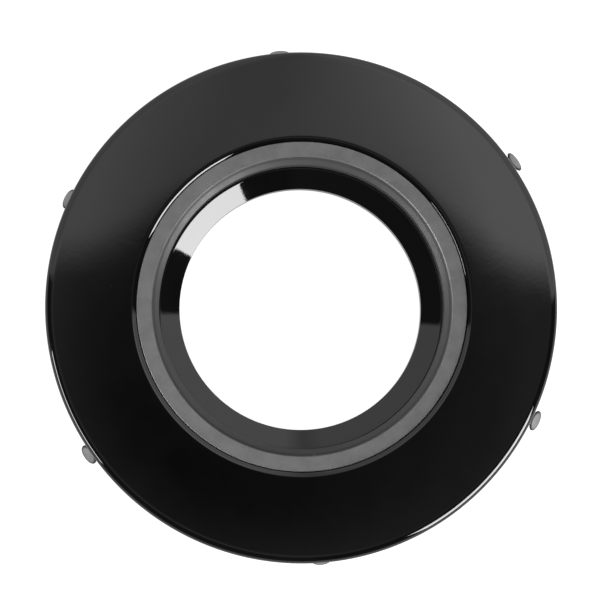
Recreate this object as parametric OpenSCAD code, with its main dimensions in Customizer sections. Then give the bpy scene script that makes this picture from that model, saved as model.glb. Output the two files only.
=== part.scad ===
// Round flanged trim ring for a cut-out in a panel: a gloss black face with a recessed satin
// ledge and a tapered throat, held by six sprung hairpin blades on a deep rear collar.
// Millimetres, face up along +Z, standing on the collar's rear rim at z = 0.

/* [Flange] */
// Outside diameter of the flange
flange_d = 190; // [184:1:200]
// Depth behind the panel, from its front face to the collar's rear rim
rear_depth = 46; // [44:1:56]
// Height of the face's flat inner part above the panel
face_h = 4; // [3.8:0.1:5]
// Fall of the crowned face from its inner edge to the rim
crown_drop = 0.8; // [0.4:0.1:1]
// Radius of the rolled rim
rim_round = 3; // [2:0.1:3.1]
// Thickness of the flange's metal
flange_t = 1.2; // [1:0.1:1.4]
// Diameter at which the face turns down into the step
step_d = 127.8; // [126:0.2:130]
// Radius of the roll that turns the face down into the step
step_round = 3.3; // [2.5:0.1:3.8]
// Lean from the axis at which that roll ends, in degrees
step_lean = 47; // [43:1:50]

/* [Ledge and throat] */
// Depth of the satin ledge below the face
ledge_drop = 1.05; // [0.9:0.05:1.4]
// Height of the satin ledge ring, from its seat to the ledge
ledge_h = 10; // [8.5:0.5:11]
// Inside diameter of the ledge ring
ledge_bore_d = 105.8; // [104:0.2:106.2]
// Radius of the ledge ring's rounded inner lip
lip_round = 2.8; // [2:0.1:3.2]
// Inside diameter of the straight bore at the bottom of the throat
bore_d = 90.4; // [84:0.2:92]
// Length of that straight bore
bore_len = 5; // [4:0.5:8]
// Lean of the tapered throat from the axis, in degrees
throat_lean = 56; // [48:1:62]
// Thickness of the throat's metal
throat_t = 1; // [0.8:0.1:1.2]

/* [Collar and clamp] */
// Outside diameter of the rear collar
collar_d = 140; // [136:1:142]
// Thickness of the collar's sheet
collar_t = 1.2; // [1:0.1:1.5]
// Width of the collar's flat rear rim
rear_rim_w = 6; // [4:0.5:8]
// Number of clamp screws, and of the bosses they hold
screw_count = 6; // [4:1:8]
// Radius of the circle the clamp screws stand on
screw_pcr = 57.3; // [57:0.1:57.6]
// Thickness of the flat clamp ring
clamp_t = 1.5; // [1.2:0.1:2]
// Thickness of the flat seal under the throat's flange
seal_t = 0.8; // [0.6:0.1:1]

/* [Blades] */
// Thickness of the blades' spring steel
blade_t = 0.5; // [0.4:0.05:0.6]
// Width of a blade at its root
blade_w = 12; // [10:0.5:14]
// Width of the neck below the head
neck_w = 4.7; // [4:0.1:5.2]
// Diameter of the round head
head_d = 7.8; // [6.5:0.1:8.5]
// Lean of a blade's arm from the axis, in degrees
arm_lean = 30.5; // [29:0.5:32]
// Length of the straight part of the arm
arm_len = 38; // [36:0.2:39]
// Lean of the head from the axis, in degrees
head_lean = 22; // [18:1:28]
// How far each blade has been sprung from that lean, clockwise from the one at +Y, in degrees
blade_set = [0, 4, 2.5, -4, -0.5, -0.5]; // [-4:0.5:4]

/* [Hidden] */
$fn = 96;
eps = 0.01;
blade_pitch = 60;

// Flange: radii and heights along its profile
rim_r = flange_d / 2;
face_z = rear_depth + face_h;
step_r = step_d / 2;
crown_run = rim_r - rim_round - step_r;
crown_r = (crown_run * crown_run + crown_drop * crown_drop) / (2 * crown_drop);
crown_end = asin(crown_run / crown_r);
ledge_z = face_z - ledge_drop;
seat_z = ledge_z - ledge_h;
skirt_t = 1.6;
skirt_shoulder = 0.3;
crown_back_start = 89.9;
seat_inner_r = ledge_bore_d / 2 + 0.5;
step_drop = ledge_drop - step_round + step_round * sin(step_lean);
step_foot_r = step_r - step_round * cos(step_lean) - step_drop * tan(step_lean);

// Ledge ring: an inverted channel with ribs, under its top plate
ledge_gap = 0.15;
ledge_edge = 0.2;
ledge_top_t = 2.5;
ledge_wall_t = 1.6;
rib_count = 24;
rib_t = 1;
rib_rise = 2;

// Stack below the flange's seat: throat flange, seal, collar flange, clamp ring
throat_z = seat_z - flange_t;
seal_z = throat_z - throat_t;
collar_z = seal_z - seal_t;
clamp_z = collar_z - collar_t;
stack_outer_r = 60.6;
stack_inner_r = 54;
edge_round = 1.4;

// Throat
throat_top_r = ledge_bore_d / 2 + 0.4;
bore_r = bore_d / 2;
throat_knee_r = throat_top_r - edge_round * cos(throat_lean);
throat_knee_z = throat_z - edge_round + edge_round * sin(throat_lean);
bore_top_z = throat_knee_z - (throat_knee_r - bore_r) / tan(throat_lean);
bore_bottom_z = bore_top_z - bore_len;
bead_round = 1;

// Rim gasket
gasket_inner_r = rim_r - 9;
gasket_outer_r = rim_r - 3;
gasket_proud = 0.5;
gasket_top_z = face_z - crown_drop - flange_t - 0.05;

// Bosses and clamp screws
boss_r = 2.2;
boss_gap = 0.15;
boss_end_z = collar_z + 0.1;
screw_r = 1.45;
screw_hole_r = 1.5;
screw_clear_r = 1.7;
screw_head_r = 2.8;
screw_head_h = 2;
screw_cap_t = 1;

// Blades: the foot stands on the collar, the root bend turns the strip back towards the flange
collar_r = collar_d / 2;
foot_gap = 0.02;
foot_top_z = 32;
foot_inner_r = collar_r + foot_gap;
bend_in = 1.6;
bend_z = 6;
bend_r = foot_inner_r + blade_t + bend_in;
curl_in = 0.9;
head_stem = 0.8;
neck_z = bend_z + 19;
rivet_zs = [14, 25];
rivet_r = 1.6;
rivet_gap = 0.05;

// ---- helpers ----

// Points along an arc in the plane of a profile
function arc(c, r, a0, a1, n = 8) =
    [for (i = [0 : n]) let (a = a0 + (a1 - a0) * i / n) c + r * [cos(a), sin(a)]];

// Extrudes a radius-height profile across the blade's width, with the radius along +Y
module across(w) {
    rotate([90, 0, 90]) linear_extrude(w, center = true) children();
}

// Extrudes an outline drawn on the X-Z plane outwards along +Y
module outwards(y0, y1) {
    translate([0, y1, 0]) rotate([90, 0, 0]) linear_extrude(y1 - y0) children();
}

// Puts its children at each of n stations round the axis, clockwise from +Y
module around(n) {
    for (i = [0 : n - 1]) rotate([0, 0, -360 * i / n]) children();
}

// Flat ring with holes for the clamp screws
module drilled_ring(r_in, r_out, z0, t, hole_r) {
    difference() {
        translate([0, 0, z0]) cylinder(r = r_out, h = t);
        translate([0, 0, z0 - eps]) cylinder(r = r_in, h = t + 2 * eps);
        around(screw_count) translate([0, screw_pcr, z0 - eps]) cylinder(r = hole_r, h = t + 2 * eps, $fn = 32);
    }
}

// ---- face ----

// Crowned face, rolled rim and skirt, step wall and the inward seat for the ledge ring
module trim_flange() {
    back_z = face_z - flange_t;
    wall_back_r = step_foot_r + flange_t;
    color([0.015, 0.015, 0.017]) difference() {
        rotate_extrude($fn = 180) polygon(concat(
            [[rim_r, rear_depth]],
            arc([rim_r - rim_round, face_z - crown_drop - rim_round], rim_round, 0, 90 - crown_end, 6),
            arc([step_r, face_z - crown_r], crown_r, 90 - crown_end, 90, 10),
            arc([step_r, face_z - step_round], step_round, 90, 180 - step_lean, 5),
            [[step_foot_r, ledge_z], [step_foot_r, seat_z], [seat_inner_r, seat_z], [seat_inner_r, throat_z],
             [wall_back_r, throat_z], [wall_back_r, ledge_z - flange_t]],
            arc([step_r, back_z - crown_r], crown_r, crown_back_start, 90 - crown_end, 8),
            [[rim_r - skirt_t, back_z - crown_drop - skirt_shoulder], [rim_r - skirt_t, rear_depth]]
        ));
        around(screw_count)
            translate([0, screw_pcr, throat_z - 1]) cylinder(r = boss_r + boss_gap, h = flange_t + 2, $fn = 32);
    }
}

// Satin ring lying in the step: top plate with a rounded inner lip, sleeve, outer wall, ribs and bosses
module ledge_ring() {
    in_r = ledge_bore_d / 2;
    out_r = step_foot_r - ledge_gap;
    channel_in_r = in_r + ledge_wall_t;
    channel_out_r = out_r - ledge_wall_t;
    color([0.14, 0.14, 0.15]) difference() {
        union() {
            rotate_extrude($fn = 180) polygon(concat(
                [[out_r, seat_z], [out_r, ledge_z - ledge_edge], [out_r - ledge_edge, ledge_z]],
                arc([in_r + lip_round, ledge_z - lip_round], lip_round, 90, 180, 8),
                [[in_r, seat_z], [channel_in_r, seat_z], [channel_in_r, ledge_z - ledge_top_t],
                 [channel_out_r, ledge_z - ledge_top_t], [channel_out_r, seat_z]]
            ));
            intersection() {
                around(rib_count) translate([-rib_t / 2, in_r + ledge_wall_t / 2, seat_z + rib_rise])
                    cube([rib_t, out_r - in_r - ledge_wall_t, ledge_h - rib_rise - ledge_top_t / 2]);
                translate([0, 0, seat_z]) cylinder(r = out_r - ledge_wall_t / 2, h = ledge_h, $fn = 180);
            }
            around(screw_count)
                translate([0, screw_pcr, boss_end_z]) cylinder(r = boss_r, h = ledge_z - 0.5 - boss_end_z, $fn = 32);
        }
        around(screw_count) translate([0, screw_pcr, boss_end_z - 1])
            cylinder(r = screw_hole_r, h = ledge_z - screw_cap_t - boss_end_z + 1, $fn = 32);
    }
}

// Tapered throat: flange under the seat, rounded top edge, cone, straight bore and rear bead
module throat_cone() {
    inner = concat(
        arc([throat_top_r, throat_z - edge_round], edge_round, 90, 180 - throat_lean, 6),
        [[bore_r, bore_top_z], [bore_r, bore_bottom_z]],
        arc([bore_r + bead_round, bore_bottom_z], bead_round, 180, 270, 5)
    );
    outer = concat(
        [[bore_r + 3, bore_bottom_z - bead_round], [bore_r + 3, bore_bottom_z]],
        [[bore_r + throat_t, bore_bottom_z], [bore_r + throat_t, bore_top_z - 0.5 * throat_t]],
        arc([throat_top_r, throat_z - edge_round], edge_round - throat_t, 180 - throat_lean, 90, 4)
    );
    color([0.015, 0.015, 0.017]) difference() {
        rotate_extrude($fn = 180)
            polygon(concat([[stack_outer_r, throat_z]], inner, outer, [[stack_outer_r, seal_z]]));
        around(screw_count)
            translate([0, screw_pcr, seal_z - 1]) cylinder(r = boss_r + boss_gap, h = throat_t + 2, $fn = 32);
    }
}

// ---- rear ----

// Pressed collar: inward flange at the front, plain wall, inward rim at the rear
module mounting_collar() {
    turn = 2;
    wall_in = collar_r - collar_t;
    color([0.62, 0.63, 0.65]) difference() {
        rotate_extrude($fn = 180) polygon(concat(
            [[stack_inner_r, clamp_z], [stack_inner_r, collar_z]],
            arc([collar_r - turn, collar_z - turn], turn, 90, 0, 5),
            arc([collar_r - turn, turn], turn, 0, -90, 5),
            [[collar_r - rear_rim_w, 0], [collar_r - rear_rim_w, collar_t]],
            arc([collar_r - turn, turn], turn - collar_t, -90, 0, 3),
            arc([wall_in - turn + collar_t, clamp_z - turn + collar_t], turn - collar_t, 0, 90, 3)
        ));
        around(screw_count)
            translate([0, screw_pcr, clamp_z - 1]) cylinder(r = screw_clear_r, h = collar_t + 2, $fn = 32);
        around(len(blade_set)) for (z = rivet_zs)
            translate([0, wall_in - 1, z]) rotate([-90, 0, 0])
                cylinder(r = rivet_r + rivet_gap, h = collar_t + 2, $fn = 32);
    }
}

// Flat steel ring behind the collar's flange, which the screws bear on
module clamp_ring() {
    color([0.7, 0.7, 0.72])
        drilled_ring(stack_inner_r, stack_outer_r + 1, clamp_z - clamp_t, clamp_t, screw_clear_r);
}

// Cross-recessed pan-head screws, driven from behind into the ledge ring's bosses
module clamp_screws() {
    head_z = clamp_z - clamp_t;
    recess_w = 0.8;
    recess_l = 3.2;
    color([0.72, 0.72, 0.74]) around(screw_count) translate([0, screw_pcr, head_z]) difference() {
        union() {
            rotate_extrude($fn = 32) polygon(concat(
                [[0, 0], [screw_head_r, 0], [screw_head_r, -screw_head_h + 0.8]],
                arc([screw_head_r - 0.8, -screw_head_h + 0.8], 0.8, 0, -90, 4),
                [[0, -screw_head_h]]
            ));
            cylinder(r = screw_r, h = ledge_z - screw_cap_t - 0.3 - head_z, $fn = 32);
        }
        for (a = [0, 90]) rotate([0, 0, a])
            translate([-recess_l / 2, -recess_w / 2, -screw_head_h - 1]) cube([recess_l, recess_w, 2.1]);
    }
}

// Foam ring behind the rim, which seals against the panel
module rim_gasket() {
    low_z = rear_depth - gasket_proud;
    nib = 0.4;
    color([0.08, 0.08, 0.085]) rotate_extrude($fn = 180) polygon([
        [gasket_inner_r + nib, low_z], [gasket_outer_r - nib, low_z], [gasket_outer_r, low_z + nib],
        [gasket_outer_r, gasket_top_z], [gasket_inner_r, gasket_top_z], [gasket_inner_r, low_z + nib]
    ]);
}

// Flat rubber seal between the throat's flange and the collar
module throat_seal() {
    color([0.1, 0.1, 0.1])
        drilled_ring(stack_inner_r, stack_outer_r, collar_z, seal_t, boss_r + boss_gap);
}

// ---- blades ----

// Foot of one blade: riveted strap on the collar, ending half way round the root bend
module blade_foot() {
    corner = 2.5;
    half = blade_w / 2;
    out_r = foot_inner_r + blade_t;
    difference() {
        intersection() {
            across(blade_w) polygon(concat(
                [[foot_inner_r, foot_top_z], [foot_inner_r, bend_z]],
                arc([bend_r, bend_z], bend_in + blade_t, 180, 270, 6),
                arc([bend_r, bend_z], bend_in, 270, 180, 6),
                [[out_r, foot_top_z]]
            ));
            outwards(foot_inner_r - 1, bend_r + 1) polygon(concat(
                [[-half, 0], [half, 0]],
                arc([half - corner, foot_top_z - corner], corner, 0, 90, 6),
                arc([corner - half, foot_top_z - corner], corner, 90, 180, 6)
            ));
        }
        for (z = rivet_zs) translate([0, foot_inner_r - 1, z]) rotate([-90, 0, 0])
            cylinder(r = rivet_r + rivet_gap, h = blade_t + 2, $fn = 32);
    }
}

// Moving part of one blade: the rest of the root bend, the tapered arm, the curl and the head
module blade_arm(set) {
    lean = arm_lean + set;
    mid = bend_in + blade_t / 2;
    curl = curl_in + blade_t / 2;
    along = [sin(lean), cos(lean)];
    side = [cos(lean), -sin(lean)];
    arm_root = [bend_r, bend_z] + mid * side;
    curl_c = arm_root + arm_len * along + curl * side;
    head_dir = [sin(head_lean), -cos(head_lean)];
    head_out = [cos(head_lean), sin(head_lean)];
    head_start = curl_c + curl * head_out;
    stem_end = head_start + (head_stem + head_d / 2) * head_dir;
    head_c = head_start + (head_stem + head_d / 2 - 0.2) * head_dir;
    top_z = curl_c[1] + curl + blade_t;
    // strip and taper of the arm
    intersection() {
        across(blade_w) polygon(concat(
            arc([bend_r, bend_z], bend_in, 270, 360 - lean, 6),
            arc(curl_c, curl_in + blade_t, 180 - lean, head_lean, 8),
            [stem_end + blade_t / 2 * head_out, stem_end - blade_t / 2 * head_out],
            arc(curl_c, curl_in, head_lean, 180 - lean, 8),
            arc([bend_r, bend_z], bend_in + blade_t, 360 - lean, 270, 6)
        ));
        union() {
            outwards(bend_r - 5, curl_c[0] - curl) polygon([
                [-blade_w / 2, 0], [blade_w / 2, 0], [blade_w / 2, bend_z + 3], [neck_w / 2, neck_z],
                [neck_w / 2, top_z], [-neck_w / 2, top_z], [-neck_w / 2, neck_z], [-blade_w / 2, bend_z + 3]
            ]);
            translate([-neck_w / 2, curl_c[0] - curl - 1, bend_z + 8]) cube([neck_w, 12, top_z]);
        }
    }
    translate([0, head_c[0], head_c[1]]) rotate([head_lean - 90, 0, 0])
        cylinder(r = head_d / 2, h = blade_t, center = true, $fn = 64);
}

// Two domed rivets through each foot and the collar's wall
module blade_rivets() {
    head_r = 3;
    head_h = 1.3;
    shop_r = 2.5;
    shop_h = 0.9;
    grip_in = collar_r - collar_t - 0.25;
    grip_out = foot_inner_r + blade_t;
    dome_r = (head_r * head_r + head_h * head_h) / (2 * head_h);
    color([0.75, 0.75, 0.77]) around(len(blade_set)) for (z = rivet_zs)
        translate([0, 0, z]) rotate([-90, 0, 0]) rotate_extrude($fn = 32) polygon(concat(
            [[0, grip_in - shop_h], [shop_r - 0.3, grip_in - shop_h], [shop_r, grip_in - shop_h + 0.3],
             [shop_r, grip_in], [rivet_r, grip_in], [rivet_r, grip_out]],
            arc([0, grip_out + head_h - dome_r], dome_r, 90 - asin(head_r / dome_r), 90, 6)
        ));
}

// A blade's foot or arm at its station round the collar, clockwise from +Y
module foot_at(n) {
    color([0.6, 0.61, 0.62]) rotate([0, 0, -blade_pitch * (n - 1)]) blade_foot();
}

module arm_at(n) {
    color([0.55, 0.56, 0.57]) rotate([0, 0, -blade_pitch * (n - 1)]) blade_arm(blade_set[n - 1]);
}

trim_flange();
ledge_ring();
throat_cone();
mounting_collar();
clamp_ring();
clamp_screws();
rim_gasket();
throat_seal();
blade_rivets();
foot_at(1);  // blade_foot_1
foot_at(2);  // blade_foot_2
foot_at(3);  // blade_foot_3
foot_at(4);  // blade_foot_4
foot_at(5);  // blade_foot_5
foot_at(6);  // blade_foot_6
arm_at(1);  // blade_arm_1
arm_at(2);  // blade_arm_2
arm_at(3);  // blade_arm_3
arm_at(4);  // blade_arm_4
arm_at(5);  // blade_arm_5
arm_at(6);  // blade_arm_6
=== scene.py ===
"""Flanged trim ring with sprung blades: its shown pieces and finishes, built round the frame."""

import logging
import math
from dataclasses import dataclass, field
from enum import Enum
from typing import Callable, Iterable, Optional, Sequence

import bmesh
import bpy
import numpy as np
from mathutils import Matrix, Vector


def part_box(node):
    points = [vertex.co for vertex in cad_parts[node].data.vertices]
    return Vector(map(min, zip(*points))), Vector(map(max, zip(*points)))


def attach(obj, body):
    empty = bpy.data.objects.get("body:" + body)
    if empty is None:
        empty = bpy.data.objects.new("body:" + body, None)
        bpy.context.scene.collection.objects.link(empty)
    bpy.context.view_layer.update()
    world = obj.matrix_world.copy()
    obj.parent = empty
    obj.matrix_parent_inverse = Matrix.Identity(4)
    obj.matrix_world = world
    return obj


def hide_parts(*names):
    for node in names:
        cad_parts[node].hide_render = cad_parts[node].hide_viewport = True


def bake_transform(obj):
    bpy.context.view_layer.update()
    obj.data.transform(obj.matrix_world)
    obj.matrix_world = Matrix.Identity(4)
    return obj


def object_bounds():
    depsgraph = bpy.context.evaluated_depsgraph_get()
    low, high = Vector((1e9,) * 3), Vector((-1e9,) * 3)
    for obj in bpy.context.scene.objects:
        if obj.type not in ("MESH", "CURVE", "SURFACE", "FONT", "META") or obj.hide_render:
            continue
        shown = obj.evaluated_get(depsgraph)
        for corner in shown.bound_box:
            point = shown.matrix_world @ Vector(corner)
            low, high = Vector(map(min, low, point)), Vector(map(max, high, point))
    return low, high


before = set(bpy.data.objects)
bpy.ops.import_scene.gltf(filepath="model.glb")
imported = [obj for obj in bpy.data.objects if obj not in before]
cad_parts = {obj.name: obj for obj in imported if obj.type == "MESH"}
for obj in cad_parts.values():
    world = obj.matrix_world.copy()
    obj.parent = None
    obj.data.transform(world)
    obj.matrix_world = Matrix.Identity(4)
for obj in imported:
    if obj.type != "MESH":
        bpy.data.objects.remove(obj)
cad_low, cad_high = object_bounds()

LOG = logging.getLogger("trim_ring")
MM = 0.001
BLADES = 6
PITCH = math.tau / BLADES
# Point attribute that marks the band of painted shade round each blade head's edge.
RIM_NAME = "sheared_rim"
RIVET_HEIGHTS = (14.0 * MM, 25.0 * MM)
RIVET_HOLE = 1.65 * MM
SCREW_COUNT = 6
SCREW_CIRCLE = 57.3 * MM
SCREW_HOLE = 1.7 * MM
PAST_FACE = 1 * MM
BLADE_LEAN = 29.2
BLADE_SETS = (0.0, 4.0, 2.5, -4.0, -0.5, -0.5)

Point = tuple[float, float]
Profile = list[Point]
Adder = Callable[[bmesh.types.BMesh], None]


# ---------------------------------------------------------------- sizes taken from the frame


def node_points(node: str) -> np.ndarray:
    """Vertices of a CAD node.

    Args:
        node: The node's name.

    Returns:
        An array of points, in metres.
    """
    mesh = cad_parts[node].data
    flat = np.zeros(len(mesh.vertices) * 3, np.float32)
    mesh.vertices.foreach_get("co", flat)
    return flat.reshape(-1, 3).astype(float)


@dataclass(frozen=True)
class Extent:
    """Radii and heights that a revolved node spans, in metres."""

    inner: float
    outer: float
    bottom: float
    top: float

    @classmethod
    def of(cls, node: str) -> "Extent":
        """Measures a node about the ring's axis, to the nearest hundredth of a millimetre.

        Args:
            node: The node's name.

        Returns:
            The span of its radii and heights.
        """
        points = node_points(node)
        radii = np.hypot(points[:, 0], points[:, 1])
        spans = (radii.min(), radii.max(), points[:, 2].min(), points[:, 2].max())
        return cls(*(round(float(v), 5) for v in spans))


# ---------------------------------------------------------------- profiles and meshes


def arc(centre: Point, radius: float, start: float, stop: float, steps: int) -> Profile:
    """Points along an arc in the radius-height plane.

    Args:
        centre: The arc's centre.
        radius: Its radius.
        start: The first angle, in degrees.
        stop: The last angle, in degrees.
        steps: The number of chords.

    Returns:
        The steps + 1 points.
    """
    angles = (math.radians(start + (stop - start) * i / steps) for i in range(steps + 1))
    return [(centre[0] + radius * math.cos(a), centre[1] + radius * math.sin(a)) for a in angles]


def line(start: Point, stop: Point, steps: int) -> Profile:
    """Points along a straight stretch of a profile, without its last point.

    Args:
        start: The first point.
        stop: The point that the stretch runs to.
        steps: The number of pieces that it is cut into.

    Returns:
        The points, so that long faces get evenly sized quads.
    """
    return [
        (start[0] + (stop[0] - start[0]) * i / steps, start[1] + (stop[1] - start[1]) * i / steps)
        for i in range(steps)
    ]


def new_piece(name: str, mesh: bpy.types.Mesh) -> bpy.types.Object:
    """Links a new object that shows a mesh.

    Args:
        name: The piece's name.
        mesh: Its mesh.

    Returns:
        The object.
    """
    piece = bpy.data.objects.new(name, mesh)
    bpy.context.scene.collection.objects.link(piece)
    return piece


def shade(mesh: bpy.types.Mesh, crease: float = 32.0) -> None:
    """Smooths a mesh apart from its creases.

    Args:
        mesh: The mesh.
        crease: The angle between faces from which an edge stays sharp, in degrees.
    """
    mesh.shade_smooth()
    mesh.set_sharp_from_angle(angle=math.radians(crease))


def mesh_from(name: str, build: Adder, crease: float = 32.0) -> bpy.types.Mesh:
    """Makes a mesh with bmesh, with its faces turned outwards.

    Args:
        name: The mesh's name.
        build: Adds the geometry.
        crease: The angle from which an edge stays sharp, in degrees.

    Returns:
        The finished mesh.
    """
    work = bmesh.new()
    build(work)
    bmesh.ops.remove_doubles(work, verts=work.verts, dist=1e-7)
    bmesh.ops.recalc_face_normals(work, faces=work.faces)
    mesh = bpy.data.meshes.new(name)
    work.to_mesh(mesh)
    work.free()
    shade(mesh, crease)
    return mesh


def add_loft(work: bmesh.types.BMesh, rings: Sequence[Sequence[Vector]], loop: bool = False) -> None:
    """Joins rings of equally many points with quads.

    Args:
        work: The bmesh to add to.
        rings: The rings, each a closed loop of points.
        loop: Whether the last ring joins the first, as round a torus; otherwise both ends are capped.
    """
    made = [[work.verts.new(p) for p in ring] for ring in rings]
    count = len(made[0])
    pairs = list(zip(made, made[1:]))
    if loop:
        pairs.append((made[-1], made[0]))
    for a, b in pairs:
        for i in range(count):
            j = (i + 1) % count
            work.faces.new((a[i], a[j], b[j], b[i]))
    if not loop:
        work.faces.new(made[0])
        work.faces.new(list(reversed(made[-1])))


def lathe(
    name: str,
    profile: Profile,
    segments: int = 384,
    sway: Optional[Callable[[float, float, float], float]] = None,
) -> bpy.types.Object:
    """Turns a closed radius-height profile round the ring's axis.

    Args:
        name: The piece's name.
        profile: The profile's points in order.
        segments: The number of steps round the axis.
        sway: Height to add at an angle, radius and height, for a surface that isn't quite true.

    Returns:
        The new object.
    """

    def build(work: bmesh.types.BMesh) -> None:
        rings = []
        for i in range(segments):
            a = math.tau * i / segments
            lift = (sway(a, r, z) if sway else 0.0 for r, z in profile)
            c, n = math.cos(a), math.sin(a)
            rings.append([Vector((r * c, r * n, z + d)) for (r, z), d in zip(profile, lift)])
        add_loft(work, rings, loop=True)

    return new_piece(name, mesh_from(name, build))


def spindle(profile: Profile, segments: int, place: Matrix) -> Adder:
    """A solid of revolution about its own axis, closed at both ends of its profile.

    Args:
        profile: Radius-height points from one end of the axis to the other.
        segments: The number of steps round the axis.
        place: Carries the solid to where it stands.

    Returns:
        A function that adds the solid to a bmesh.
    """

    def build(work: bmesh.types.BMesh) -> None:
        rings = []
        for r, z in profile:
            angles = (math.tau * i / segments for i in range(segments))
            rings.append([place @ Vector((r * math.cos(a), r * math.sin(a), z)) for a in angles])
        add_loft(work, rings)

    return build


def joined(name: str, builds: Iterable[Adder], crease: float = 32.0) -> bpy.types.Object:
    """One piece from several closed solids.

    Args:
        name: The piece's name.
        builds: Functions that each add one solid.
        crease: The angle from which an edge stays sharp, in degrees.

    Returns:
        The new object.
    """

    def build(work: bmesh.types.BMesh) -> None:
        for add in builds:
            add(work)

    return new_piece(name, mesh_from(name, build, crease))


class Cut(Enum):
    """What a tool does to the piece that it meets."""

    REMOVE = "DIFFERENCE"
    ADD = "UNION"


def apply_tool(piece: bpy.types.Object, tool: bpy.types.Object, cut: Cut, crease: float = 32.0) -> None:
    """Cuts a tool out of a piece, or welds it on, and discards the tool.

    Args:
        piece: The piece.
        tool: The solid that cuts it or is added to it.
        cut: Which of the two.
        crease: The angle from which an edge stays sharp afterwards, in degrees.
    """
    step = piece.modifiers.new("tool", "BOOLEAN")
    step.operation = cut.value
    step.solver = "EXACT"
    step.object = tool
    seen = bpy.context.evaluated_depsgraph_get()
    seen.update()
    mesh = bpy.data.meshes.new_from_object(piece.evaluated_get(seen), depsgraph=seen)
    old = piece.data
    piece.modifiers.clear()
    piece.data = mesh
    mesh.name = piece.name
    shade(mesh, crease)
    bpy.data.meshes.remove(old)
    bpy.data.objects.remove(tool)


def rods(name: str, radius: float, bottom: float, top: float) -> bpy.types.Object:
    """Upright rods on the clamp screws' circle, used as drills and bosses.

    Args:
        name: The tool's name.
        radius: The radius of a rod.
        bottom: The height that they start at.
        top: The height that they end at.

    Returns:
        The new object.
    """
    profile = [(radius, bottom), (radius, top)]
    return joined(name, [spindle(profile, 40, screw_place(i)) for i in range(SCREW_COUNT)])


def screw_place(station: int) -> Matrix:
    """Where a clamp screw's axis stands, clockwise from +Y."""
    return (
        Matrix.Rotation(-math.tau * station / SCREW_COUNT, 4, "Z")
        @ Matrix.Translation((0, SCREW_CIRCLE, 0))
    )


def drill_circle(piece: bpy.types.Object, radius: float, bottom: float, top: float) -> None:
    """Drills the clamp screws' holes through a piece.

    Args:
        piece: The piece.
        radius: The holes' radius.
        bottom: The height that they start at.
        top: The height that they end at.
    """
    apply_tool(piece, rods("drill", radius, bottom, top), Cut.REMOVE)


# ---------------------------------------------------------------- shader groups


def socket(group: bpy.types.NodeTree, name: str, kind: str, way: str, value: object = None) -> None:
    """Adds a named socket to a node group.

    Args:
        group: The group.
        name: The socket's name.
        kind: Its type, such as NodeSocketFloat.
        way: INPUT or OUTPUT.
        value: Its default value.
    """
    made = group.interface.new_socket(name=name, in_out=way, socket_type=kind)
    if value is not None:
        made.default_value = value


class Graph:
    """A node tree that is wired by name."""

    def __init__(self, tree: bpy.types.NodeTree) -> None:
        """Wraps a tree and clears it."""
        self.tree = tree
        self.tree.nodes.clear()

    def add(self, kind: str, **values: object) -> bpy.types.Node:
        """Adds a node.

        Args:
            kind: The node's type, without its ShaderNode prefix, or a full Node name.
            **values: Properties of the node.

        Returns:
            The node.
        """
        made = self.tree.nodes.new(kind if kind.startswith("Node") else "ShaderNode" + kind)
        for name, value in values.items():
            setattr(made, name, value)
        return made

    def wire(self, source: bpy.types.NodeSocket, target: bpy.types.NodeSocket) -> None:
        """Links one socket to another."""
        self.tree.links.new(source, target)

    def feed(self, node: bpy.types.Node, **inputs: object) -> bpy.types.Node:
        """Sets or links a node's inputs by their names, with _ for a space.

        Args:
            node: The node.
            **inputs: A value, or a socket to link from.

        Returns:
            The node.
        """
        for name, value in inputs.items():
            key: object = name.replace("_", " ")
            if name.startswith("in") and name[2:].isdigit():
                key = int(name[2:])
            slot_in = node.inputs[key]
            if isinstance(value, bpy.types.NodeSocket):
                self.wire(value, slot_in)
            else:
                slot_in.default_value = value
        return node

    def math(self, operation: str, a: object, b: object = 0.0, clamp: bool = False) -> bpy.types.NodeSocket:
        """A Math node's result.

        Args:
            operation: The operation.
            a: The first value or socket.
            b: The second value or socket.
            clamp: Whether the result is kept from 0 to 1.

        Returns:
            The output socket.
        """
        node = self.feed(self.add("Math", operation=operation, use_clamp=clamp), in0=a, in1=b)
        return node.outputs[0]

    def spread(
        self, value: object, low: float, high: float, to_low: float = 0.0, to_high: float = 1.0
    ) -> bpy.types.NodeSocket:
        """Maps a range of values smoothly onto another.

        Args:
            value: The value or socket.
            low: Where the range starts.
            high: Where it ends.
            to_low: The result at and before the start.
            to_high: The result at and past the end.

        Returns:
            The output socket.
        """
        node = self.add("MapRange", interpolation_type="SMOOTHSTEP")
        self.feed(node, in0=value, in1=low, in2=high, in3=to_low, in4=to_high)
        return node.outputs[0]

    def ramp(
        self, value: object, low: float, high: float, to_low: float, to_high: float
    ) -> bpy.types.NodeSocket:
        """Maps a range of values onto another in a straight line, held at both ends.

        Args:
            value: The value or socket.
            low: Where the range starts.
            high: Where it ends.
            to_low: The result at and before the start.
            to_high: The result at and past the end.

        Returns:
            The output socket.
        """
        node = self.add("MapRange", interpolation_type="LINEAR", clamp=True)
        self.feed(node, in0=value, in1=low, in2=high, in3=to_low, in4=to_high)
        return node.outputs[0]

    def noise(self, where: bpy.types.NodeSocket, cell: bpy.types.NodeSocket, detail: float) -> bpy.types.Node:
        """A noise texture whose grains have a given size.

        Args:
            where: The point, in millimetres.
            cell: The grains' size, in millimetres.
            detail: How many finer octaves it holds.

        Returns:
            The node.
        """
        scale = self.math("DIVIDE", 1.0, cell)
        return self.feed(self.add("TexNoise"), Vector=where, Scale=scale, Detail=detail)

    def mix(self, share: object, a: object, b: object) -> bpy.types.NodeSocket:
        """A colour mixed from two.

        Args:
            share: How much of the second.
            a: The first colour or socket.
            b: The second colour or socket.

        Returns:
            The output socket.
        """
        node = self.add("Mix", data_type="RGBA")
        self.feed(node, in0=share, in6=a, in7=b)
        return node.outputs[2]


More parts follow.
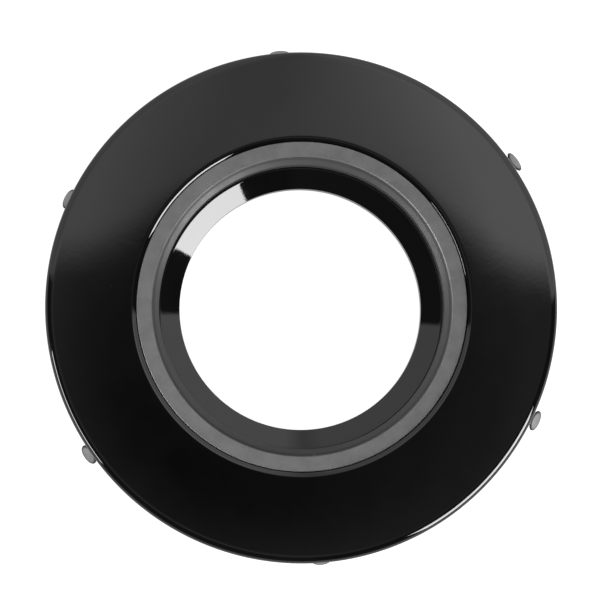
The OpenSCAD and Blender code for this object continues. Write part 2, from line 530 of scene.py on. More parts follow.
def new_group(
    name: str, inputs: dict[str, float], outputs: Sequence[str]
) -> tuple[bpy.types.NodeTree, Graph]:
    """Starts a shader node group whose sockets are plain values.

    Args:
        name: The group's name.
        inputs: The inputs' names and defaults.
        outputs: The outputs' names.

    Returns:
        The group and its graph.
    """
    tree = bpy.data.node_groups.new(name, "ShaderNodeTree")
    for key, value in inputs.items():
        socket(tree, key, "NodeSocketFloat", "INPUT", value)
    for key in outputs:
        socket(tree, key, "NodeSocketFloat", "OUTPUT")
    return tree, Graph(tree)


def place_in_mm(graph: Graph) -> bpy.types.NodeSocket:
    """The surface point in the object's own space, in millimetres."""
    scaled = graph.add("VectorMath", operation="SCALE")
    graph.wire(graph.add("TexCoord").outputs["Object"], scaled.inputs[0])
    scaled.inputs["Scale"].default_value = 1 / MM
    return scaled.outputs[0]


class Effects:
    """The shader groups that several finishes share, each built once."""

    def __init__(self) -> None:
        """Builds every group."""
        self.peel = self._peel()
        self.grain = self._grain()
        self.specks = self._specks()
        self.turned = self._turned()

    @staticmethod
    def _peel() -> bpy.types.NodeTree:
        """Slow waves and fine orange-peel of a baked coating."""
        tree, g = new_group("orange_peel", {"Cell": 1.6, "Wave": 22.0, "Wave Share": 0.8}, ["Height"])
        given = g.add("NodeGroupInput").outputs
        where = place_in_mm(g)
        fine = g.noise(where, given["Cell"], 2.0)
        slow = g.noise(where, given["Wave"], 1.0)
        total = g.math("MULTIPLY_ADD", slow.outputs[0], given["Wave Share"])
        g.wire(fine.outputs[0], total.node.inputs[2])
        g.wire(total, g.add("NodeGroupOutput").inputs["Height"])
        return tree

    @staticmethod
    def _grain() -> bpy.types.NodeTree:
        """Blotches and a fine tooth, as on moulded or blasted surfaces."""
        tree, g = new_group("grain", {"Tooth": 0.25, "Blotch": 9.0}, ["Tooth", "Blotch"])
        given = g.add("NodeGroupInput").outputs
        where = place_in_mm(g)
        tooth = g.noise(where, given["Tooth"], 3.0)
        blotch = g.noise(where, given["Blotch"], 4.0)
        blotch.inputs["Roughness"].default_value = 0.65
        out = g.add("NodeGroupOutput")
        g.wire(tooth.outputs[0], out.inputs["Tooth"])
        g.wire(g.spread(blotch.outputs[0], 0.3, 0.7), out.inputs["Blotch"])
        return tree

    @staticmethod
    def _specks() -> bpy.types.NodeTree:
        """A mask of sparse dust motes and short hairline marks."""
        tree, g = new_group("dust", {"Spacing": 5.0, "Size": 0.06, "Amount": 0.4}, ["Mask"])
        given = g.add("NodeGroupInput").outputs
        where = place_in_mm(g)
        cells = g.feed(g.add("TexVoronoi"), Vector=where, Scale=g.math("DIVIDE", 1.0, given["Spacing"]))
        near = g.math("LESS_THAN", cells.outputs["Distance"], given["Size"])
        pick = g.feed(g.add("TexWhiteNoise", noise_dimensions="3D"), Vector=cells.outputs["Color"])
        chosen = g.math("LESS_THAN", pick.outputs["Value"], given["Amount"])
        g.wire(g.math("MULTIPLY", near, chosen), g.add("NodeGroupOutput").inputs["Mask"])
        return tree

    @staticmethod
    def _turned() -> bpy.types.NodeTree:
        """Fine lines that run round the ring's axis, or along it, from drawing and turning."""
        tree, g = new_group("turned_lines", {"Pitch": 0.3, "Run": 30.0, "Upright": 0.0}, ["Height"])
        given = g.add("NodeGroupInput").outputs
        parts = g.add("SeparateXYZ")
        g.wire(place_in_mm(g), parts.inputs[0])
        x, y, z = parts.outputs
        radius = g.math("SQRT", g.math("ADD", g.math("MULTIPLY", x, x), g.math("MULTIPLY", y, y)))
        angle = g.math("MULTIPLY", g.math("ARCTAN2", y, x), 60.0)
        across = g.math("ADD", radius, z)
        fast = g.add("Mix", data_type="FLOAT")
        g.feed(fast, in0=given["Upright"], in2=across, in3=angle)
        slow = g.add("Mix", data_type="FLOAT")
        g.feed(slow, in0=given["Upright"], in2=angle, in3=across)
        where = g.add("CombineXYZ")
        g.wire(g.math("DIVIDE", fast.outputs[0], given["Pitch"]), where.inputs[0])
        g.wire(g.math("DIVIDE", slow.outputs[0], given["Run"]), where.inputs[1])
        lines = g.feed(g.add("TexNoise"), Vector=where.outputs[0], Scale=1.0, Detail=3.0)
        g.wire(lines.outputs[0], g.add("NodeGroupOutput").inputs["Height"])
        return tree


class Shader:
    """One material being wired: its Principled shader and its graph."""

    def __init__(self, name: str) -> None:
        """Starts a material.

        Args:
            name: The material's name.
        """
        self.material = bpy.data.materials.new(name)
        self.material.use_nodes = True
        self.graph = Graph(self.material.node_tree)
        self.principled = self.graph.add("BsdfPrincipled")
        out = self.graph.add("OutputMaterial")
        self.graph.wire(self.principled.outputs[0], out.inputs["Surface"])

    def use(self, group: bpy.types.NodeTree, **values: float) -> bpy.types.bpy_prop_collection:
        """Places a shared group.

        Args:
            group: The group.
            **values: Its inputs, with _ for a space.

        Returns:
            The outputs of the placed group.
        """
        node = self.graph.add("Group", node_tree=group)
        self.graph.feed(node, **values)
        return node.outputs

    def bump(
        self, height: bpy.types.NodeSocket, depth: float, after: Optional[bpy.types.NodeSocket] = None
    ) -> bpy.types.NodeSocket:
        """A bumped normal.

        Args:
            height: The height, from 0 to 1.
            depth: How far that is, in millimetres.
            after: A normal that this one is laid over.

        Returns:
            The normal.
        """
        node = self.graph.add("Bump")
        self.graph.feed(node, Strength=1.0, Distance=depth * MM, Height=height)
        if after is not None:
            self.graph.wire(after, node.inputs["Normal"])
        return node.outputs[0]

    def set(self, **inputs: object) -> None:
        """Sets or links the Principled shader's inputs by name, with _ for a space."""
        self.graph.feed(self.principled, **inputs)


@dataclass(frozen=True)
class GlossCoat:
    """High-gloss baked coating: a deep base colour under a clear, faintly uneven skin."""

    name: str
    base: tuple[float, float, float]
    peel_depth: float = 0.0022
    roughness: float = 0.035
    cell: float = 1.7

    def make(self, effects: Effects) -> bpy.types.Material:
        """Wires the finish.

        Args:
            effects: The shared groups.

        Returns:
            The material.
        """
        s = Shader(self.name)
        peel = s.use(effects.peel, Cell=self.cell, Wave=24.0, Wave_Share=6.0)
        cloud = s.use(effects.grain, Tooth=0.4, Blotch=14.0)
        dust = s.use(effects.specks, Spacing=4.5, Size=0.022, Amount=0.2)
        lifted = tuple(c * 1.3 + 0.0003 for c in self.base)
        tint = s.graph.mix(cloud["Blotch"], (*self.base, 1), (*lifted, 1))
        speckled = s.graph.mix(dust["Mask"], tint, (0.03, 0.03, 0.031, 1))
        rough = s.graph.math("MULTIPLY_ADD", cloud["Blotch"], 0.02)
        rough.node.inputs[2].default_value = self.roughness
        s.set(
            Base_Color=speckled,
            Roughness=s.graph.math("ADD", rough, s.graph.math("MULTIPLY", dust["Mask"], 0.3)),
            IOR=1.5,
            Normal=s.bump(peel["Height"], self.peel_depth),
        )
        return s.material


@dataclass(frozen=True)
class SatinSkin:
    """Satin sprayed surface with faint blotches and a fine tooth, darkened on steep edges as painted shade.
    """

    name: str
    base: tuple[float, float, float]
    roughness: float = 0.42
    tooth_depth: float = 0.006
    sheen: float = 0.5
    lip_shade_share: float = 0.3

    def make(self, effects: Effects) -> bpy.types.Material:
        """Wires the finish.

        Args:
            effects: The shared groups.

        Returns:
            The material.
        """
        s = Shader(self.name)
        grain = s.use(effects.grain, Tooth=0.3, Blotch=7.0)
        fine = s.use(effects.grain, Tooth=0.12, Blotch=2.2)
        rings = s.use(effects.turned, Pitch=0.22, Run=40.0, Upright=0.0)
        paler = tuple(c * 1.22 for c in self.base)
        darker = tuple(c * 0.86 for c in self.base)
        tint = s.graph.mix(grain["Blotch"], (*darker, 1), (*paler, 1))
        tint = s.graph.mix(s.graph.math("MULTIPLY", fine["Blotch"], 0.25), tint, (*paler, 1))
        facing = s.graph.add("SeparateXYZ")
        s.graph.wire(s.graph.add("NewGeometry").outputs["Normal"], facing.inputs[0])
        # Steep faces, such as the ledge's inner lip, get a darker base colour as painted shade, and a rougher
        # skin.
        steep = s.graph.spread(facing.outputs[2], 0.75, 0.97, 1.0, 0.0)
        lip_shade = tuple(c * self.lip_shade_share for c in self.base)
        tint = s.graph.mix(steep, tint, (*lip_shade, 1))
        rough = s.graph.math("MULTIPLY_ADD", grain["Blotch"], -0.07)
        rough.node.inputs[2].default_value = self.roughness
        rough = s.graph.math("ADD", rough, s.graph.math("MULTIPLY", steep, 0.2))
        ringed = s.bump(rings["Height"], self.tooth_depth * 0.5)
        s.set(
            Base_Color=tint,
            Roughness=rough,
            IOR=1.46,
            Specular_IOR_Level=self.sheen,
            Normal=s.bump(grain["Tooth"], self.tooth_depth, ringed),
        )
        return s.material


@dataclass(frozen=True)
class SheetMetal:
    """Plated or tempered sheet: drawn lines, dull blotches, small marks and, where asked, painted shade along
    a marked rim.
    """

    name: str
    base: tuple[float, float, float]
    roughness: float = 0.34
    line_pitch: float = 0.3
    upright: float = 0.0
    line_depth: float = 0.004
    rim: float = 0.0

    def make(self, effects: Effects) -> bpy.types.Material:
        """Wires the finish.

        Args:
            effects: The shared groups.

        Returns:
            The material.
        """
        s = Shader(self.name)
        lines = s.use(effects.turned, Pitch=self.line_pitch, Run=26.0, Upright=self.upright)
        grain = s.use(effects.grain, Tooth=0.2, Blotch=5.0)
        marks = s.use(effects.specks, Spacing=3.0, Size=0.05, Amount=0.35)
        duller = tuple(c * 0.72 for c in self.base)
        tint = s.graph.mix(grain["Blotch"], (*self.base, 1), (*duller, 1))
        tint = s.graph.mix(s.graph.math("MULTIPLY", marks["Mask"], 0.5), tint, (0.12, 0.12, 0.12, 1))
        # Where the rim attribute is set, the colour is darkened towards near black: painted shade round the
        # blade heads' edges.
        if self.rim:
            rim = s.graph.add("Attribute", attribute_name=RIM_NAME).outputs["Fac"]
            tint = s.graph.mix(s.graph.math("MULTIPLY", rim, self.rim), tint, (0.022, 0.022, 0.024, 1))
        rough = s.graph.math("MULTIPLY_ADD", grain["Blotch"], 0.14)
        rough.node.inputs[2].default_value = self.roughness
        drawn = s.bump(lines["Height"], self.line_depth)
        s.set(Base_Color=tint, Metallic=1.0, Roughness=rough, Normal=s.bump(grain["Tooth"], 0.002, drawn))
        return s.material


@dataclass(frozen=True)
class SoftSeal:
    """Foam or rubber: dark, open-celled or matt."""

    name: str
    base: tuple[float, float, float]
    cell: float = 0.45
    depth: float = 0.12
    roughness: float = 0.85

    def make(self, effects: Effects) -> bpy.types.Material:
        """Wires the finish.

        Args:
            effects: The shared groups.

        Returns:
            The material.
        """
        s = Shader(self.name)
        pores = s.graph.feed(s.graph.add("TexVoronoi"), Vector=place_in_mm(s.graph), Scale=1 / self.cell)
        grain = s.use(effects.grain, Tooth=self.cell, Blotch=6.0)
        # The pores' hollows get a darker colour: painted shade in the recesses.
        pit = s.graph.spread(pores.outputs["Distance"], 0.05, 0.6)
        darker = tuple(c * 0.45 for c in self.base)
        tint = s.graph.mix(pit, (*darker, 1), (*self.base, 1))
        rough = s.graph.math("MULTIPLY_ADD", grain["Blotch"], 0.1)
        rough.node.inputs[2].default_value = self.roughness - 0.1
        toothed = s.bump(grain["Tooth"], self.depth * 0.3)
        s.set(Base_Color=tint, Roughness=rough, IOR=1.4, Normal=s.bump(pit, self.depth, toothed))
        return s.material


# ---------------------------------------------------------------- sub-assemblies


@dataclass
class Shop:
    """What the sub-assemblies share: the effect groups and the list of pieces made."""

    effects: Effects = field(default_factory=Effects)
    made: list[bpy.types.Object] = field(default_factory=list)

    def finish(
        self, piece: bpy.types.Object, material: bpy.types.Material, body: str, slot: str, *nodes: str
    ) -> None:
        """Dresses a piece, fixes it to a body and reports it.

        Args:
            piece: The piece.
            material: Its material.
            body: The body that it rides on.
            slot: The record's slot that its finish stands for; passed on, not used.
            *nodes: The CAD nodes that it stands for.
        """
        self.dress(piece, material, slot)
        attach(piece, body)
        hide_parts(*nodes)

    def dress(self, piece: bpy.types.Object, material: bpy.types.Material, slot: str) -> None:
        """Gives a piece its material and reports it.

        Args:
            piece: The piece.
            material: Its material.
            slot: The record's slot that its finish stands for; not used.
        """
        piece.data.materials.clear()
        piece.data.materials.append(material)
        self.made.append(piece)
        LOG.info("%s: %d faces", piece.name, len(piece.data.polygons))


@dataclass
class Face:
    """The gloss flange, the satin ledge ring in its step and the gloss throat."""

    shop: Shop
    flange: Extent = field(default_factory=lambda: Extent.of("trim_flange"))
    ledge: Extent = field(default_factory=lambda: Extent.of("ledge_ring"))
    throat: Extent = field(default_factory=lambda: Extent.of("throat_cone"))
    rim_round: float = 3.0 * MM
    step_radius: float = 63.25 * MM
    step_round: float = 2.45 * MM
    step_lean: float = 47.0
    crown_drop: float = 0.8 * MM
    metal: float = 1.2 * MM
    skirt: float = 1.6 * MM
    seat_height: float = 10.0 * MM
    plate: float = 2.5 * MM
    sleeve: float = 1.6 * MM
    lip_round: float = 2.8 * MM
    crest: float = 1.2 * MM
    throat_metal: float = 1.0 * MM
    throat_round: float = 1.4 * MM
    throat_lean: float = 56.0
    bead: float = 1.0 * MM
    bore_length: float = 5.0 * MM
    boss_radius: float = 2.2 * MM
    boss_gap: float = 0.15 * MM
    boss_roof: float = 0.5 * MM
    boss_hole: float = 1.5 * MM
    well_gap: float = 0.2 * MM
    outer_edge: float = 0.4 * MM
    knee_inset: float = 0.2 * MM
    bead_foot: float = 3 * MM

    def build(self) -> bpy.types.Object:
        """Makes and dresses the three pieces.

        Returns:
            The ledge ring, which gets its own light.
        """
        black = (0.0012, 0.0012, 0.00125)
        coat = GlossCoat("flange_gloss_coat", black).make(self.shop.effects)
        inner = GlossCoat("throat_gloss_coat", black, peel_depth=0.004, cell=0.6).make(self.shop.effects)
        satin = SatinSkin("ledge_satin_skin", (0.068, 0.068, 0.069), 0.34).make(self.shop.effects)
        self.shop.finish(self._flange(), coat, "root", "gloss_black", "trim_flange")
        ledge = self._ledge()
        self.shop.finish(ledge, satin, "root", "satin_grey", "ledge_ring")
        self.shop.finish(self._throat(), inner, "root", "gloss_black_throat", "throat_cone")
        return ledge

    @property
    def crown(self) -> tuple[float, float]:
        """The crown's radius, and the angle at its rim end in degrees."""
        run = self.flange.outer - self.rim_round - self.step_radius
        radius = (run * run + self.crown_drop**2) / (2 * self.crown_drop)
        return radius, math.degrees(math.asin(run / radius))

    def _flange(self) -> bpy.types.Object:
        """The crowned face with its rolled rim, skirt, step wall and seat."""
        f, top = self.flange, self.flange.top
        radius, end = self.crown
        skirt_z = self.gasket_plane
        seat_z = self.ledge.top - self.seat_height
        foot = self.ledge.outer + self.well_gap
        back = top - self.metal
        rim_centre = (f.outer - self.rim_round, top - self.crown_drop - self.rim_round)
        roll_centre = (self.step_radius, top - self.step_round)
        profile = [
            *line((f.outer, skirt_z), (f.outer, rim_centre[1]), 3),
            *arc(rim_centre, self.rim_round, 0, 90 - end, 24),
            *arc((self.step_radius, top - radius), radius, 90 - end, 90, 48)[1:],
            *arc(roll_centre, self.step_round, 90, 180 - self.step_lean, 24)[1:],
            (foot, self.ledge.top),
            (foot, seat_z),
            (f.inner, seat_z),
            (f.inner, f.bottom),
            (foot + self.metal, f.bottom),
            (foot + self.metal, self.ledge.top - self.metal),
            *arc((self.step_radius, back - radius), radius, 89.9, 90 - end, 24),
            (f.outer - self.skirt, back - self.crown_drop - 0.3 * MM),
            (f.outer - self.skirt, skirt_z),
        ]
        piece = lathe("flange_shell", profile)
        drill_circle(piece, self.boss_clear, f.bottom - PAST_FACE, f.bottom + 2 * PAST_FACE)
        return piece

    def _ledge(self) -> bpy.types.Object:
        """The satin ring: an inverted channel with a chamfered inner lip and blind bosses."""
        e = self.ledge
        seat_z = e.top - self.seat_height
        channel_in, channel_out = e.inner + self.sleeve, e.outer - self.sleeve
        crest_run = self.crest * math.tan(math.pi / 8)
        lip, edge = e.inner + self.lip_round, self.outer_edge
        profile = [
            (e.outer, seat_z),
            *arc((e.outer - edge, e.top - edge), edge, 0, 90, 7),
            *line((e.outer - 1.5 * edge, e.top), (lip + crest_run, e.top), 12),
            *arc((lip + crest_run, e.top - self.crest), self.crest, 90, 135, 10),
            *line((lip - crest_run, e.top - 2 * crest_run), (e.inner, e.top - self.lip_round), 6)[1:],
            (e.inner, e.top - self.lip_round),
            (e.inner, seat_z),
            (channel_in, seat_z),
            (channel_in, e.top - self.plate),
            (channel_out, e.top - self.plate),
            (channel_out, seat_z),
        ]
        piece = lathe("ledge_band", profile)
        roof = e.top - self.boss_roof
        apply_tool(piece, rods("bosses", self.boss_radius, e.bottom, roof), Cut.ADD)
        drill_circle(piece, self.boss_hole, e.bottom - PAST_FACE, roof - self.boss_roof)
        return piece

    def _throat(self) -> bpy.types.Object:
        """The throat's flange, rounded top edge, taper, straight bore and rear bead."""
        e = self.throat
        knee_centre = (self.ledge.inner - self.knee_inset, e.top - self.throat_round)
        bore_bottom = e.bottom + self.bead
        bore_top = bore_bottom + self.bore_length
        sheet = self.throat_metal
        knee = arc(knee_centre, self.throat_round, 90, 180 - self.throat_lean, 16)
        profile = [
            *line((e.outer, e.top), knee[0], 6),
            *knee,
            *line(knee[-1], (e.inner, bore_top), 14)[1:],
            *line((e.inner, bore_top), (e.inner, bore_bottom), 5),
            *arc((e.inner + self.bead, bore_bottom), self.bead, 180, 270, 10),
            (e.inner + self.bead_foot, e.bottom),
            (e.inner + self.bead_foot, bore_bottom),
            (e.inner + sheet, bore_bottom),
            (e.inner + sheet, bore_top - 0.5 * sheet),
            *arc(knee_centre, self.throat_round - sheet, 180 - self.throat_lean, 90, 6),
            (e.outer, e.top - sheet),
        ]
        piece = lathe("throat_taper", profile)
        drill_circle(piece, self.boss_clear, e.top - sheet - PAST_FACE, e.top - sheet + 2 * PAST_FACE)
        return piece

    @property
    def boss_clear(self) -> float:
        """The radius of the holes that the bosses pass."""
        return self.boss_radius + self.boss_gap

    @property
    def gasket_plane(self) -> float:
        """The height of the skirt's lower edge, where the panel's face lies."""
        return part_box("rim_gasket")[0].z + 0.5 * MM


@dataclass
class Rear:
    """The collar behind the flange, its clamp ring, screws and seals."""

    shop: Shop
    collar: Extent = field(default_factory=lambda: Extent.of("mounting_collar"))
    clamp: Extent = field(default_factory=lambda: Extent.of("clamp_ring"))
    gasket: Extent = field(default_factory=lambda: Extent.of("rim_gasket"))
    seal: Extent = field(default_factory=lambda: Extent.of("throat_seal"))
    screws: Extent = field(default_factory=lambda: Extent.of("clamp_screws"))
    sheet: float = 1.2 * MM
    turn: float = 2.0 * MM
    rear_rim: float = 6.0 * MM
    seal_hole: float = 2.35 * MM
    recess_sizes: tuple[Point, Point] = ((1.65 * MM, 0.45 * MM), (0.8 * MM, 0.22 * MM))
    screw_radius: float = 1.45 * MM
    screw_pitch: float = 0.5 * MM
    head_radius: float = 2.8 * MM
    head_height: float = 2.0 * MM

    def build(self) -> None:
        """Makes and dresses the rear pieces."""
        fx = self.shop.effects
        zinc = SheetMetal("collar_zinc_plate", (0.56, 0.57, 0.59), 0.36, 0.4, upright=1.0).make(fx)
        flat = SheetMetal("clamp_zinc_plate", (0.6, 0.6, 0.62), 0.32, 0.25).make(fx)
        bolt = SheetMetal("screw_zinc_plate", (0.66, 0.66, 0.68), 0.24, 0.15).make(fx)
        foam = SoftSeal("gasket_foam", (0.05, 0.05, 0.052)).make(fx)
        rubber = SoftSeal("seal_rubber", (0.045, 0.045, 0.045), 0.2, 0.02, 0.7).make(fx)
        self.shop.finish(self._collar(), zinc, "root", "collar_steel", "mounting_collar")
        self.shop.finish(self._clamp(), flat, "root", "clamp_steel", "clamp_ring")
        self.shop.finish(self._screws(), bolt, "root", "fastener_steel", "clamp_screws")
        gasket = self._gasket()
        self.shop.finish(gasket, foam, "root", "foam", "rim_gasket")
        self.shop.finish(self._seal(), rubber, "root", "seal_rubber", "throat_seal")

    def _collar(self) -> bpy.types.Object:
        """The pressed cup: front flange, wall and rear rim, with its screw and rivet holes."""
        e, turn, sheet = self.collar, self.turn, self.sheet
        inside = turn - sheet
        front, rear = e.top - turn, e.bottom + turn
        profile = [
            (e.inner, e.top - sheet),
            *line((e.inner, e.top), (e.outer - turn, e.top), 4),
            *arc((e.outer - turn, front), turn, 90, 0, 10),
            *line((e.outer, front), (e.outer, rear), 12)[1:],
            *arc((e.outer - turn, rear), turn, 0, -90, 10),
            (e.outer - self.rear_rim, e.bottom),
            (e.outer - self.rear_rim, e.bottom + sheet),
            *arc((e.outer - turn, rear), inside, -90, 0, 6),
            *line((e.outer - sheet, rear), (e.outer - sheet, front), 12)[1:],
            *arc((e.outer - turn, front), inside, 0, 90, 6),
        ]
        piece = lathe("collar_cup", profile, 300)
        drill_circle(piece, SCREW_HOLE, e.top - 2 * sheet, e.top + sheet)
        apply_tool(piece, rivet_drill(range(BLADES), e.outer - sheet / 2, 3 * MM), Cut.REMOVE)
        return piece

    def _clamp(self) -> bpy.types.Object:
        """The flat clamp ring with slightly broken edges."""
        e, soft = self.clamp, 0.15 * MM
        piece = lathe("clamp_washer_ring", soft_box(e, soft), 256)
        drill_circle(piece, SCREW_HOLE, e.bottom - PAST_FACE, e.top + PAST_FACE)
        return piece

    def _gasket(self) -> bpy.types.Object:
        """The foam ring, a little uneven from its die cut."""

        def sway(a: float, r: float, z: float) -> float:
            wave = math.sin(7 * a) + 0.6 * math.sin(17 * a + 1.3) + 0.4 * math.sin(41 * a + r * 900)
            return 0.03 * MM * wave * (z < self.gasket.bottom + 1 * MM) + 0.02 * MM * abs(math.sin(11 * a))

        e = self.gasket
        side = arc((e.outer - 0.4 * MM, e.bottom + 0.45 * MM), 0.4 * MM, -90, 0, 6)
        near = arc((e.inner + 0.4 * MM, e.bottom + 0.45 * MM), 0.4 * MM, 180, 270, 6)
        profile = [*side, (e.outer, e.top - 0.1 * MM), (e.inner, e.top - 0.1 * MM), *near]
        face = e.bottom + 0.05 * MM
        profile += line((e.inner + 0.5 * MM, face), (e.outer - 0.5 * MM, face), 8)
        return lathe("rim_foam", profile, 360, sway)

    def _seal(self) -> bpy.types.Object:
        """The flat seal, whose free edges bulge a little under the clamp's load."""
        e = self.seal
        half = (e.top - e.bottom) / 2
        middle = (e.top + e.bottom) / 2
        profile = [
            *arc((e.outer - half, middle), half, -80, 80, 8),
            *arc((e.inner + half, middle), half, 100, 260, 8),
        ]
        piece = lathe("throat_washer", profile, 256)
        drill_circle(piece, self.seal_hole, e.bottom - PAST_FACE, e.top + PAST_FACE)
        return piece

    def _screws(self) -> bpy.types.Object:
        """Pan-head screws with cross recesses and rolled threads."""
        head_z = self.screws.bottom + self.head_height
        thread_top = self.screws.top
        places = [screw_place(i) @ Matrix.Rotation(0.7 * i, 4, "Z") for i in range(SCREW_COUNT)]
        heads = joined("clamp_screw_set", [self._head(p, head_z) for p in places])
        recess = [self._recess(p, head_z, turn) for p in places for turn in (0.0, math.pi / 2)]
        for half in (recess[0::2], recess[1::2]):
            apply_tool(heads, joined("recess", half), Cut.REMOVE)
        threads = joined("threads", [self._thread(p, head_z, thread_top) for p in places], 60.0)
        merge(heads, threads)
        return heads

    def _head(self, place: Matrix, z: float) -> Adder:
        """One pan head, standing under the clamp ring."""
        r, h, soft = self.head_radius, self.head_height, 0.8 * MM
        profile = [(0.02 * MM, z), *line((0.5 * MM, z), (r, z), 3), (r, z)]
        profile += [*arc((r - soft, z - h + soft), soft, 0, -90, 8), (0.5 * MM, z - h), (0.02 * MM, z - h)]
        return spindle(profile, 48, place)

    def _recess(self, place: Matrix, z: float, turn: float) -> Adder:
        """One bar of the cross recess, narrowing towards its floor."""
        mouth, floor = z - self.head_height - 0.2 * MM, z - self.head_height + 1.15 * MM

        def build(work: bmesh.types.BMesh) -> None:
            rings = []
            for level, (length, width) in zip((mouth, floor), self.recess_sizes):
                corners = ((-length, -width), (length, -width), (length, width), (-length, width))
                spin = place @ Matrix.Rotation(turn, 4, "Z")
                rings.append([spin @ Vector((x, y, level)) for x, y in corners])
            add_loft(work, rings)

        return build

    def _thread(self, place: Matrix, low: float, high: float) -> Adder:
        """A screw's shank with a helical thread cut in it."""
        around, pitch, depth = 24, self.screw_pitch, 0.28 * MM
        steps = int((high - low) / pitch * 6)

        def build(work: bmesh.types.BMesh) -> None:
            rings = []
            for k in range(steps + 1):
                z = low + (high - low) * k / steps
                fade = min(1.0, (z - low) / pitch, (high - z) / pitch)
                ring = []
                for i in range(around):
                    phase = (z / pitch - i / around) % 1.0
                    tip = 0.2 * MM * (1 - fade) if k > 6 else 0
                    r = self.screw_radius - depth * fade * abs(2 * phase - 1) - tip
                    a = math.tau * i / around
                    ring.append(place @ Vector((r * math.cos(a), r * math.sin(a), z)))
                rings.append(ring)
            add_loft(work, rings)

        return build


def merge(target: bpy.types.Object, other: bpy.types.Object) -> None:
    """Moves another object's mesh into a target's and discards the other.

    Args:
        target: The object that keeps both meshes.
        other: The object that goes.
    """
    work = bmesh.new()
    work.from_mesh(target.data)
    work.from_mesh(other.data)
    work.to_mesh(target.data)
    work.free()
    bpy.data.objects.remove(other)


def soft_box(e: Extent, soft: float) -> Profile:
    """A flat ring's profile with its four edges broken.

    Args:
        e: The ring's radii and heights.
        soft: The radius of the broken edges.

    Returns:
        The profile.
    """
    corners = ((e.outer - soft, e.bottom + soft, -90), (e.outer - soft, e.top - soft, 0),
               (e.inner + soft, e.top - soft, 90), (e.inner + soft, e.bottom + soft, 180))
    return [p for x, z, start in corners for p in arc((x, z), soft, start, start + 90, 4)]


def rivet_place(station: int, height: float, radius: float) -> Matrix:
    """Where a rivet's axis meets the collar, with the axis pointing outwards.

    Args:
        station: The blade's station, clockwise from +Y.
        height: The rivet's height.
        radius: The radius of its origin.

    Returns:
        The placing matrix.
    """
    return (
        Matrix.Rotation(-PITCH * station, 4, "Z")
        @ Matrix.Translation((0, radius, height))
        @ Matrix.Rotation(-math.pi / 2, 4, "X")
    )


def rivet_drill(stations: Iterable[int], radius: float, reach: float) -> bpy.types.Object:
    """The drill for the rivet holes of some blades.

    Args:
        stations: The blades' stations.
        radius: The radius that the holes are centred on.
        reach: How far they go to either side of it.

    Returns:
        The tool.
    """
    profile = [(RIVET_HOLE, -reach), (RIVET_HOLE, reach)]
    places = (rivet_place(i, z, radius) for i in stations for z in RIVET_HEIGHTS)
    return joined("rivet_drill", [spindle(profile, 32, place) for place in places])


